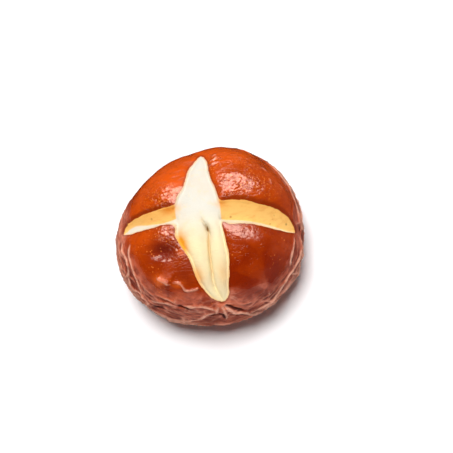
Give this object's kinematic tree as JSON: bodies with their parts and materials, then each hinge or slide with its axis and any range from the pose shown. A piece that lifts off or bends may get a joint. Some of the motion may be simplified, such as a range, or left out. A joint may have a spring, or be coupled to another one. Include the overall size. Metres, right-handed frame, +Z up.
{
  "type": "pretzel roll",
  "caption": "Round lye-crusted bread roll with a cross cut in its domed top, opened in baking to show pale crumb.",
  "frame": {"origin": "centre of the roll's bounding box, on the plane that its flat foot rests on", "axes": "+Z up through the cross-cut top; the long, wide cut runs along Y, blunt end towards -Y, and the short cut runs along X"},
  "size_m": [0.0936, 0.0868, 0.0578],
  "materials": {
    "crust": "glossy brown crust, with matt cream crumb in the cuts"
  },
  "bodies": {
    "root": {"pretzel_roll": "crust"}
  },
  "joints": []
}
